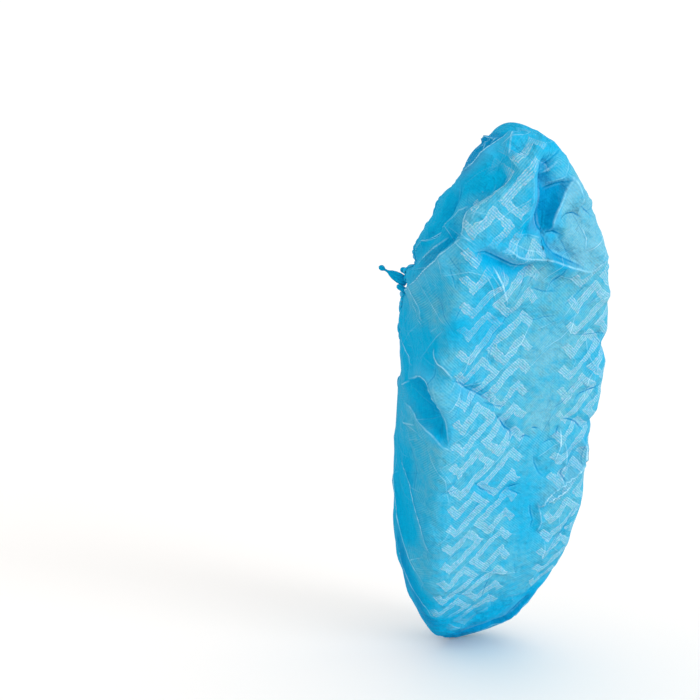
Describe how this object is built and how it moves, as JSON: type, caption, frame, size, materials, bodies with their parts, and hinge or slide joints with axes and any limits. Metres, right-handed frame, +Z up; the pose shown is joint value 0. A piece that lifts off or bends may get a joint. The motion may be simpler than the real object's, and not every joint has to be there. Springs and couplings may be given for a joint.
{
  "type": "disposable shoe cover",
  "caption": "Thin nonwoven bag with a gathered elastic hem and an anti-skid printed sole, shown worn over a shoe with the heel raised.",
  "frame": {"origin": "centre of the inner face of the sole, under the middle of the foot", "axes": "+Z up, the raised heel up and the toe tip at the bottom; -Y the way the outer face of the sole looks, +X towards the big-toe side"},
  "size_m": [0.122, 0.1796, 0.2994],
  "materials": {
    "body_cloth": "thin blue spunbond nonwoven with a fine bonded dot pattern, dry and slightly glossy on its creases",
    "hem_cloth": "the same blue nonwoven, gathered close and deeper in colour",
    "tail_cloth": "twisted end of the same blue nonwoven"
  },
  "bodies": {
    "root": {"cover_body": "body_cloth", "gathered_hem": "hem_cloth", "hem_tail": "tail_cloth"}
  },
  "joints": []
}
